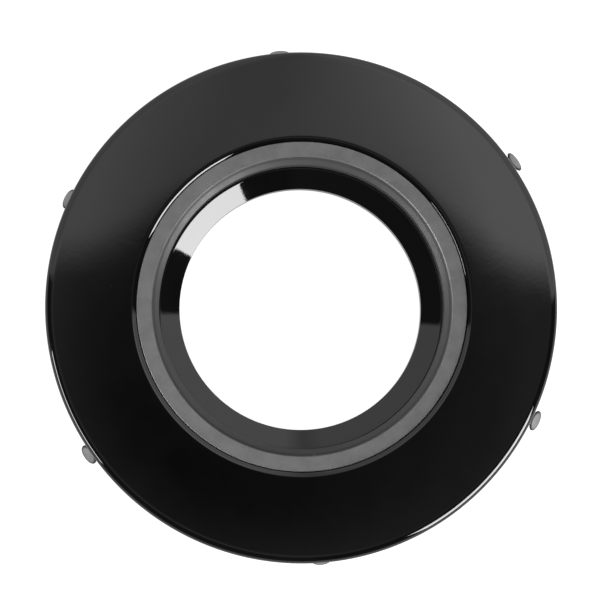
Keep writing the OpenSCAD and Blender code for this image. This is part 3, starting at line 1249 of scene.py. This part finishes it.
@dataclass
class Blade:
    """One hairpin leaf: riveted foot, root bend, tapered arm, curl, neck and round head."""

    shop: Shop
    station: int
    lean: float
    steel: bpy.types.Material
    thickness: float = 0.5 * MM
    width: float = 12.0 * MM
    neck: float = 4.7 * MM
    head: float = 7.8 * MM
    arm_length: float = 37.4 * MM
    head_lean: float = 27.0
    bend_inside: float = 1.6 * MM
    bend_height: float = 6.0 * MM
    curl_inside: float = 0.9 * MM
    stem: float = 0.8 * MM
    foot_top: float = 32.0 * MM
    foot_gap: float = 0.02 * MM
    corner: float = 2.5 * MM
    taper_start: float = 9.0 * MM
    neck_height: float = 25.0 * MM
    dish: float = 0.35 * MM
    edge: float = 0.11 * MM
    rim_shade_band: float = 1.0 * MM
    crease: float = 50.0
    bend_centre: Vector = field(default_factory=Vector, init=False)
    head_centre: Vector = field(default_factory=Vector, init=False)

    @property
    def turn(self) -> Matrix:
        """Carries a point from the first blade's place to this one's."""
        return Matrix.Rotation(-PITCH * self.station, 4, "Z")

    def build(self, collar_radius: float) -> bpy.types.Object:
        """Makes the leaf, bends it across its joint and dresses it.

        Args:
            collar_radius: The radius of the collar's outside.

        Returns:
            The piece.
        """
        half = self.thickness / 2
        bend_radius = collar_radius + self.foot_gap + self.thickness + self.bend_inside
        self.bend_centre = Vector((bend_radius, self.bend_height))
        rings = [self._section(*sample) for sample in self._samples(half)]
        name = f"blade_leaf_{self.station + 1}"
        piece = new_piece(name, mesh_from(name, lambda work: add_loft(work, rings), self.crease))
        apply_tool(piece, rivet_drill([self.station], collar_radius, 2 * MM), Cut.REMOVE, self.crease)
        self._paint_rim_shade(piece.data)
        self.shop.dress(piece, self.steel, "spring_steel")
        number = self.station + 1
        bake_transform(piece)
        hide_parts(f"blade_foot_{number}", f"blade_arm_{number}")
        return piece

    def _paint_rim_shade(self, mesh: bpy.types.Mesh) -> None:
        """Marks a band round the head's edge, which the steel finish darkens as painted shade.

        Args:
            mesh: The leaf's mesh.
        """
        centre = self.turn @ Vector((0, self.head_centre.x, self.head_centre.y))
        band = self.rim_shade_band
        mark = mesh.attributes.new(RIM_NAME, "FLOAT", "POINT")
        for vertex, value in zip(mesh.vertices, mark.data):
            reach = (vertex.co - centre).length
            share = min(1.0, max(0.0, (reach - self.head / 2 + band) / (0.6 * band)))
            value.value = share if reach < self.head / 2 + 0.3 * MM else 0.0

    def _samples(self, half: float) -> list[tuple[Vector, Vector, float, float]]:
        """Stations along the strip's middle line.

        Args:
            half: Half the sheet's thickness.

        Returns:
            For each station its radius-height point, outer normal, half width and dish.
        """
        mid_bend, mid_curl = self.bend_inside + half, self.curl_inside + half
        lean = math.radians(self.lean)
        tilt = math.radians(self.head_lean)
        along = Vector((math.sin(lean), math.cos(lean)))
        side = Vector((math.cos(lean), -math.sin(lean)))
        root = self.bend_centre + mid_bend * side
        curl_centre = root + self.arm_length * along + mid_curl * side
        head_out = Vector((math.cos(tilt), math.sin(tilt)))
        head_along = Vector((math.sin(tilt), -math.cos(tilt)))
        head_start = curl_centre + mid_curl * head_out
        rows: list[tuple[Vector, Vector, float, float]] = []
        foot_r = self.bend_centre.x - mid_bend
        foot_length = self.foot_top - self.bend_height
        for i in range(33):
            t = (1 - math.cos(math.pi / 2 * i / 32)) * foot_length
            depth = max(0.0, self.corner - t)
            inset = self.corner - math.sqrt(max(0.0, self.corner**2 - depth**2))
            rows.append((Vector((foot_r, self.foot_top - t)), Vector((1, 0)), self.width / 2 - inset, 0.0))
        sweep = 180 - self.lean
        for i in range(1, 29):
            a = math.radians(180 + sweep * i / 28)
            out = Vector((math.cos(a), math.sin(a)))
            rows.append((self.bend_centre + mid_bend * out, -out, self._arm_half(self.bend_height), 0.0))
        for i in range(1, 49):
            p = root + self.arm_length * along * (i / 48)
            rows.append((p, -side, self._arm_half(p.y), 0.0))
        for i in range(1, 25):
            a = math.radians(180 - self.lean + (self.head_lean - 180 + self.lean) * i / 24)
            out = Vector((math.cos(a), math.sin(a)))
            rows.append((curl_centre + mid_curl * out, out, self.neck / 2, 0.0))
        radius = self.head / 2
        centre = self.stem + radius - 0.2 * MM
        self.head_centre = head_start + head_along * centre
        for i in range(1, 61):
            t = (centre + radius) * math.sin(math.pi / 2 * i / 60)
            t = min(t, centre + radius - 0.004 * MM)
            chord = math.sqrt(max(0.0, radius**2 - (t - centre) ** 2))
            shoulder = self.neck / 2 if t < centre else 0.0
            rows.append((head_start + head_along * t, head_out, max(chord, shoulder), t - centre))
        return rows

    def _arm_half(self, height: float) -> float:
        """Half the arm's width at a height."""
        share = (height - self.taper_start) / (self.neck_height - self.taper_start)
        return (self.width + (self.neck - self.width) * min(1.0, max(0.0, share))) / 2

    def _section(self, point: Vector, normal: Vector, half_width: float, from_head: float) -> list[Vector]:
        """The closed loop round the strip at one station.

        Args:
            point: The middle line's radius-height point.
            normal: The side that the sheet's first face looks to.
            half_width: Half the strip's width there.
            from_head: The distance along the strip from the head's centre, or 0 off the head.

        Returns:
            The loop's points, in the ring's frame.
        """
        half, across = self.thickness / 2, 16
        edge = min(self.edge, half_width * 0.4)
        turn = self.turn
        sides = []
        for face in (1, -1):
            for i in range(across + 1):
                u = face * (1 - 2 * i / across) * (half_width - edge)
                sides.append((u, face * half))
            sides.append((-face * half_width, face * (half - edge)))
            sides.append((-face * half_width, -face * (half - edge)))
        loop = []
        for u, v in sides:
            sag = 0.0
            if from_head:
                reach = min(1.0, (u * u + from_head * from_head) / (self.head / 2) ** 2)
                sag = self.dish * (1 - reach)
            at = point + normal * (v + sag)
            loop.append(turn @ Vector((u, at.x, at.y)))
        return loop


@dataclass
class Rivets:
    """The domed rivets that hold the blades' feet to the collar."""

    shop: Shop
    collar_radius: float
    sheet: float = 1.2 * MM
    grip: float = 0.52 * MM
    shank: float = 1.6 * MM
    head_radius: float = 3.0 * MM
    head_height: float = 1.3 * MM
    shop_radius: float = 2.5 * MM
    shop_height: float = 0.9 * MM

    def build(self) -> None:
        """Makes and dresses the rivets as one piece."""
        inside = -self.sheet - 0.25 * MM
        dome = (self.head_radius**2 + self.head_height**2) / (2 * self.head_height)
        start = 90 - math.degrees(math.asin(self.head_radius / dome))
        profile = [
            (0.02 * MM, inside - self.shop_height),
            *arc((self.shop_radius - 0.3 * MM, inside - self.shop_height + 0.3 * MM), 0.3 * MM, -90, 0, 5),
            (self.shop_radius, inside),
            (self.shank, inside),
            (self.shank, self.grip),
            *arc((0, self.grip + self.head_height - dome), dome, start, 89.5, 12),
        ]
        alloy = SheetMetal("rivet_alloy", (0.72, 0.72, 0.74), 0.22, 0.2).make(self.shop.effects)
        places = (rivet_place(i, z, self.collar_radius) for i in range(BLADES) for z in RIVET_HEIGHTS)
        builds = [spindle(profile, 40, place) for place in places]
        self.shop.finish(joined("foot_rivets", builds), alloy, "root", "rivet_alloy", "blade_rivets")


# ---------------------------------------------------------------- studio


@dataclass(frozen=True)
class Softbox:
    """A rectangular light placed by its clock angle seen from the camera, its elevation and distance."""

    name: str
    clock: float
    elevation: float
    distance: float
    width: float
    height: float
    power: float


@dataclass
class Studio:
    """Floor, surroundings, lights and camera."""

    roll: float = 4.7
    distance: float = 1.3
    lean: float = 4.8
    lean_clock: float = 211.0
    frame_width: float = 0.22506
    aim_right: float = 0.70 * MM
    aim_up: float = 2.34 * MM
    sensor: float = 36.0
    half_floor: float = 6.0
    pale: tuple[float, float, float, float] = (0.9, 0.9, 0.9, 1)
    floor_seen: float = 1.0
    floor_glow: float = 0.5
    floor_grey: float = 0.25
    wall_share: float = 0.1

    def direction(self, clock: float, elevation: float) -> Vector:
        """A unit vector by clock angle, from the top of the view, and elevation, in degrees."""
        a, e = math.radians(clock + self.roll), math.radians(elevation)
        return Vector((math.sin(a) * math.cos(e), math.cos(a) * math.cos(e), math.sin(e)))

    def build(self) -> None:
        """Makes the camera, the floor, the surroundings and the lights."""
        self._camera()
        self._floor()
        self._surroundings()
        boxes = (
            Softbox("key_softbox", 129.5, 24.0, 1.5, 0.96, 0.76, 39.0),
            Softbox("side_softbox", 248.0, 17.0, 0.8, 0.40, 0.15, 2.4),
        )
        for box in boxes:
            self._light(box)
        bpy.context.scene.view_settings.view_transform = "Standard"

    def _camera(self) -> None:
        """A long lens almost straight above the face, turned a little about its own axis."""
        centre = Vector((0, 0, cad_high.z - 2 * MM))
        up = self.direction(0.0, 0.0)
        right = self.direction(90.0, 0.0)
        aim = centre + right * self.aim_right + up * self.aim_up
        back = self.direction(self.lean_clock, 90.0 - self.lean)
        side = up.cross(back).normalized()
        data = bpy.data.cameras.new("view_camera")
        data.sensor_width = self.sensor
        data.lens = self.sensor * self.distance / self.frame_width
        data.clip_start, data.clip_end = 0.05, 50.0
        camera = bpy.data.objects.new("view_camera", data)
        bpy.context.scene.collection.objects.link(camera)
        turn = Matrix((side, back.cross(side), back)).transposed()
        camera.matrix_world = Matrix.Translation(aim + back * self.distance) @ turn.to_4x4()
        bpy.context.scene.camera = camera

    def _floor(self) -> None:
        """A pale, softly glowing table that only shows from above."""
        half = self.half_floor

        def build(work: bmesh.types.BMesh) -> None:
            corners = ((-half, -half), (half, -half), (half, half), (-half, half))
            work.faces.new([work.verts.new((x, y, 0.0)) for x, y in corners])

        floor = new_piece("table", mesh_from("table", build))
        floor.location.z = cad_low.z - 0.1 * MM
        material = bpy.data.materials.new("table_top")
        material.use_nodes = True
        g = Graph(material.node_tree)
        grey = (self.floor_grey,) * 3
        paint = g.feed(g.add("BsdfPrincipled"), Base_Color=(*grey, 1), Roughness=0.9)
        seen = g.add("LightPath").outputs["Is Camera Ray"]
        glow = g.spread(seen, 0.0, 1.0, self.floor_glow, self.floor_seen)
        g.feed(paint, Emission_Color=(1, 1, 1, 1), Emission_Strength=glow)
        clear = g.add("BsdfTransparent")
        sides = g.add("MixShader")
        g.wire(g.add("NewGeometry").outputs["Backfacing"], sides.inputs[0])
        g.wire(paint.outputs[0], sides.inputs[1])
        g.wire(clear.outputs[0], sides.inputs[2])
        g.wire(sides.outputs[0], g.add("OutputMaterial").inputs["Surface"])
        floor.data.materials.append(material)

    def _surroundings(self) -> None:
        """A bright wall past the top of the view, a dark room elsewhere, and a pale backdrop."""
        world = bpy.data.worlds.new("studio")
        world.use_nodes = True
        bpy.context.scene.world = world
        g = Graph(world.node_tree)
        look = g.add("TexCoord").outputs["Generated"]
        across = self._along(g, look, self.direction(90.0, 0.0))
        ahead = self._along(g, look, self.direction(0.0, 0.0))
        tipped = (self.direction(2.5, 0.0) + Vector((0.0, 0.0, 0.07))).to_tuple()
        edge = g.spread(self._along(g, look, Vector(tipped)), 0.152, 0.188)
        right = g.ramp(across, 0.03, 0.15, 0.0, 1.4)
        left = g.ramp(across, -0.1, 0.0, 0.6, 0.0)
        rise = g.ramp(ahead, 0.1, 0.25, 0.06, 0.0)
        away = g.math("ADD", g.math("MULTIPLY", across, across), g.math("MULTIPLY", ahead, ahead))
        flanks = g.math("MULTIPLY", g.math("ADD", right, left), g.spread(away, 0.08, 0.4, 1.0, 0.45))
        wall = g.math("ADD", flanks, g.math("ADD", rise, 1.0))
        halo = g.math("MULTIPLY", g.ramp(away, 0.0, 0.04, 0.0, 0.5), g.spread(away, 0.08, 0.3, 1.0, 0.0))
        room = g.math("ADD", halo, g.ramp(away, 0.0, 0.3, 0.045, 0.12))
        room = g.math("MULTIPLY", room, g.ramp(across, 0.06, 0.16, 1.0, 0.55))
        lit = g.add("Mix", data_type="FLOAT")
        g.feed(lit, in0=edge, in2=room, in3=wall)
        path = g.add("LightPath").outputs
        share = g.ramp(path["Is Diffuse Ray"], 0.0, 1.0, 1.0, self.wall_share)
        glow = g.feed(g.add("Background"), Strength=g.math("MULTIPLY", lit.outputs[0], share))
        pale = g.feed(g.add("Background"), Color=self.pale, Strength=1.0)
        pick = g.add("MixShader")
        g.wire(path["Is Camera Ray"], pick.inputs[0])
        g.wire(glow.outputs[0], pick.inputs[1])
        g.wire(pale.outputs[0], pick.inputs[2])
        g.wire(pick.outputs[0], g.add("OutputWorld").inputs["Surface"])

    @staticmethod
    def _along(g: Graph, look: bpy.types.NodeSocket, way: Vector) -> bpy.types.NodeSocket:
        """How far a direction looks along a given way."""
        facing = g.add("VectorMath", operation="DOT_PRODUCT")
        g.wire(look, facing.inputs[0])
        facing.inputs[1].default_value = way
        return facing.outputs["Value"]

    def wash(self, piece: bpy.types.Object) -> None:
        """Adds a soft wash that falls on one piece only.

        Args:
            piece: The piece.
        """
        only = bpy.data.collections.new("washed")
        only.objects.link(piece)
        box = Softbox("ledge_wash", 242.0, 52.5, 0.8, 0.40, 0.50, 8.2)
        self._light(box).light_linking.receiver_collection = only

    def _light(self, box: Softbox) -> bpy.types.Object:
        """Places one softbox, facing the ring."""
        data = bpy.data.lights.new(box.name, "AREA")
        data.shape = "RECTANGLE"
        data.size, data.size_y = box.width, box.height
        data.energy = box.power
        light = bpy.data.objects.new(box.name, data)
        bpy.context.scene.collection.objects.link(light)
        away = self.direction(box.clock, box.elevation)
        light.location = away * box.distance
        light.rotation_mode = "QUATERNION"
        light.rotation_quaternion = away.to_track_quat("Z", "Y")
        return light


# ---------------------------------------------------------------- main


def main() -> None:
    """Builds every piece, the studio and the camera."""
    logging.basicConfig(level=logging.INFO, format="%(name)s: %(message)s")
    studio = Studio()
    studio.build()
    shop = Shop()
    studio.wash(Face(shop).build())
    rear = Rear(shop)
    rear.build()
    # rim=1.0 darkens the heads' marked edges as painted shade.
    steel = SheetMetal("blade_spring_steel", (0.34, 0.345, 0.35), 0.36, 0.25, upright=1.0, rim=1.0)
    material = steel.make(shop.effects)
    for station, own_set in enumerate(BLADE_SETS):
        Blade(shop, station, BLADE_LEAN + own_set, material).build(rear.collar.outer)
    Rivets(shop, rear.collar.outer).build()
    LOG.info("%d pieces", len(shop.made))


if __name__ == "__main__":
    main()
